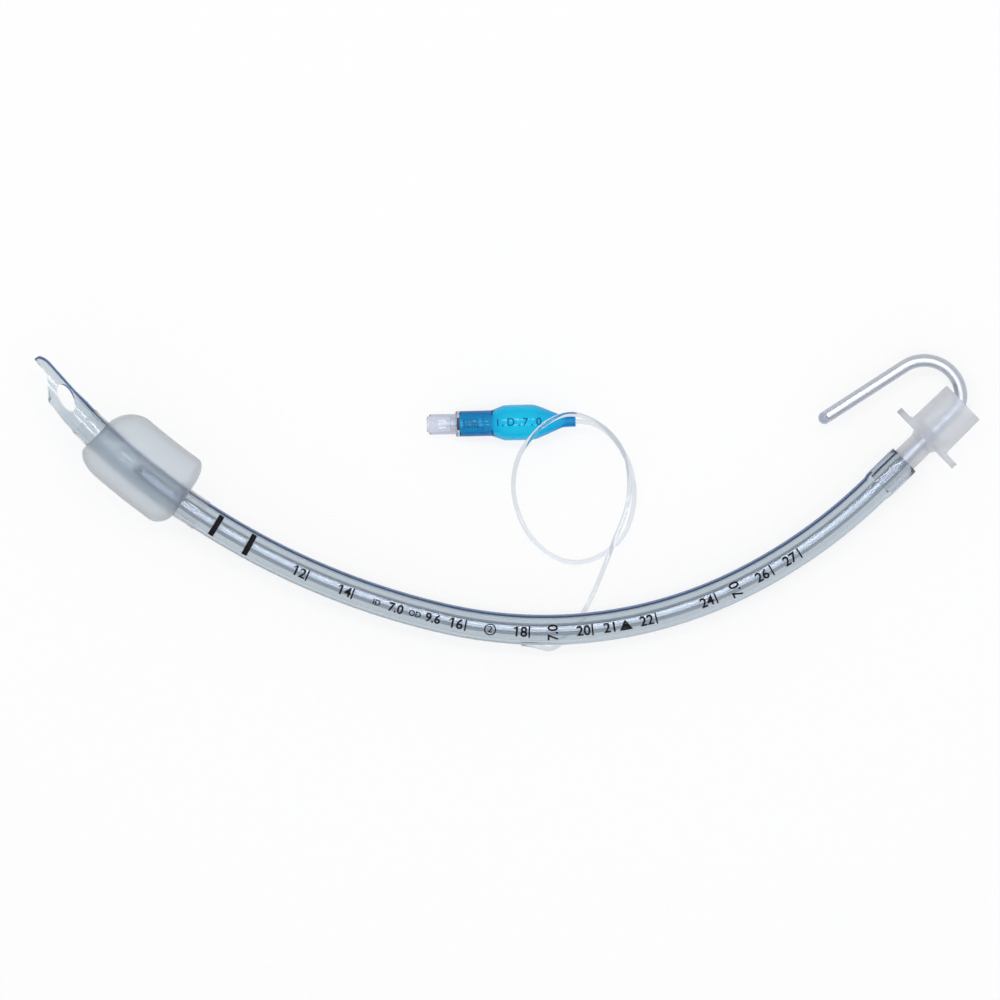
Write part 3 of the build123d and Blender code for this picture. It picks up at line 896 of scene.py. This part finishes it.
size_spacing = 1.5
size_middle = 29.5
size_flat, size_mesh = flat_word("balloon_size", "I.D.7.0", size_height, size_spacing)
size_along = size_flat[:, 0] + size_middle
skin_outside = balloon_outline[:np.argmax(balloon_outline[:, 1])]
skin_radius = np.interp(size_along, skin_outside[:, 1], skin_outside[:, 0])
size_turn = size_flat[:, 1] / skin_radius
size_out = np.cos(size_turn)[:, None] * valve_up + np.sin(size_turn)[:, None] * valve_side
size_rise = (skin_radius + size_flat[:, 2])[:, None]
size_place = size_along[:, None] * valve_axis + size_out * size_rise + valve_place
wrapped("balloon_size", size_mesh, size_place, ink("balloon_ink", (0.005, 0.14, 0.36)))

# The valve's housing is one clear moulding: a socket that takes a syringe, a collar that the balloon's
# sleeve is pushed against, and a tail with the chamber for the moving parts.
valve_outline = eased([
    (2.135, 0.0), (2.3, 0.0), (2.35, 0.0), (2.4, 0.05), (3.2, 0.85), (3.25, 1.0), (3.25, 5), (3.25, 9.0),
    (3.28, 9.1), (3.95, 9.1), (4.05, 9.2), (4.05, 10.4), (4.0, 10.5), (3.34, 10.5), (3.3, 10.55), (3.3, 15),
    (3.3, 20.3), (3.25, 20.4), (2.45, 20.4), (2.4, 20.3), (2.4, 15), (2.4, 9.6), (2.35, 9.5), (1.25, 9.5),
    (1.2, 9.4), (1.2, 7.6), (1.25, 7.5), (1.85, 7.5), (1.91, 7.4), (2.05, 3.0), (2.135, 0.1),
], 2)
valve_plastic = clear_plastic(
    Finish("valve_plastic"), tint=(0.93, 0.94, 0.97), index=1.22, roughness=0.05, shade=(0.75, 0.77, 0.82),
    ripple=0.1, absorbed=(0.55, 0.6, 0.7), density=250,
)
valve_piece = piece(
    "valve_housing",
    [shell(spun(valve_outline), round_rows=True)],
    valve_plastic,
    ["valve_body"],
)

# In the chamber a pale plastic plunger carries a black rubber seal, and a perforated disc closes the end.
# The steel spring between the plunger's flange and the disc shortens as a syringe pushes the plunger in.
inner_finishes = {
    "valve_stem": opaque("stem_plastic", (0.85, 0.86, 0.88), 0.3),
    "valve_retainer": opaque("retainer_plastic", (0.85, 0.86, 0.88), 0.3),
    "valve_seal": opaque("seal_rubber", (0.05, 0.05, 0.055), 0.5),
}
for node, finish in inner_finishes.items():
    dressed(node, finish)
spring_start = 11.71
spring_reach = 4.7
spring_turns = 5
spring_coil = 1.35
spring_wire = 0.15
coil_turn = np.linspace(0, spring_turns * 2 * math.pi, 200)[:, None, None]
wire_turn = np.linspace(0, 2 * math.pi, 10, endpoint=False)[None, :, None]
coil_out = np.cos(coil_turn) * valve_side + np.sin(coil_turn) * valve_up
coil_along = spring_start + spring_reach * coil_turn / coil_turn[-1]
spring_rows = (
    valve_place
    + coil_out * (spring_coil + spring_wire * np.cos(wire_turn))
    + valve_axis * (coil_along + spring_wire * np.sin(wire_turn))
)
spring_steel = opaque("spring_steel", (0.62, 0.62, 0.64), 0.2, 1.0)
spring_piece = piece("seal_spring", [shell(spring_rows)], spring_steel, ["valve_spring"])
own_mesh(spring_piece)

# The floor is plain and white, and so is the room that the clear plastic shows, while the light stays at the
# level at which a colour looks as it is written.
floor_reach = 3
floor_corners = [(x * floor_reach, y * floor_reach, 0) for x, y in ((-1, -1), (1, -1), (1, 1), (-1, 1))]
floor_mesh = bpy.data.meshes.new("floor")
floor_mesh.from_pydata(floor_corners, [], [(0, 1, 2, 3)])
floor = added("floor", floor_mesh)


def seen(finish):
    """1 for a ray that comes from the camera, or from it through or off a clear or shiny surface."""
    from_camera, glossy, clear = (
        finish.node("ShaderNodeLightPath", output=f"Is {kind} Ray")
        for kind in ("Camera", "Glossy", "Transmission")
    )
    return finish.maths("MAXIMUM", from_camera, finish.maths("MAXIMUM", glossy, clear))


paper = Finish("white_floor")
paper_matt = paper.node("ShaderNodeBsdfDiffuse", sockets={"Color": (0.94, 0.94, 0.95, 1)})
paper_glow = paper.node("ShaderNodeEmission", sockets={"Color": (1, 1, 1, 1), "Strength": 1.0})
paper_mix = paper.node("ShaderNodeMixShader", sockets={0: seen(paper) * 0.78, 1: paper_matt, 2: paper_glow})
floor_mesh.materials.append(paper.finished(paper_mix))

# The room is white above and greyer towards its walls, which gives the clear plastic its darker edges.
# Where the camera looks straight at it, it is white all over.
room = Finish("soft_room", bpy.data.worlds)
direction = room.node("ShaderNodeTexCoord", output="Generated")
rise_of_ray = room.node("ShaderNodeSeparateXYZ", sockets={"Vector": direction}, output="Z")
steep = room.maths("MINIMUM", room.maths("ABSOLUTE", rise_of_ray, 0.0) * 1.6, 1.0)
backdrop = room.node("ShaderNodeLightPath", output="Is Camera Ray")
mirrored = room.maths("MAXIMUM", backdrop, steep * 0.58 + 0.42)
plain = room.node("ShaderNodeBackground", sockets={"Color": (0.98, 0.99, 1.0, 1), "Strength": 0.68})
white = room.node("ShaderNodeBackground", sockets={"Color": (1, 1, 1, 1), "Strength": mirrored})
both = room.node("ShaderNodeMixShader", sockets={0: seen(room), 1: plain, 2: white})
bpy.context.scene.world = room.finished(both, kind="ShaderNodeOutputWorld")

# Two long soft lamps hang over the object, one each side of it, and lean in towards it.
lamps = [("long_light", (-0.1, 0.32, 0.9), -19, 2.6), ("low_light", (0.15, -0.22, 0.95), 13, 1.4)]
for name, place, tilt, power in lamps:
    light = added(name, bpy.data.lights.new(name, "AREA"))
    light.data.shape = "RECTANGLE"
    light.data.size = 1.0
    light.data.size_y = 0.1
    light.data.energy = power
    light.location = place
    light.rotation_euler = (math.radians(tilt), 0, 0)
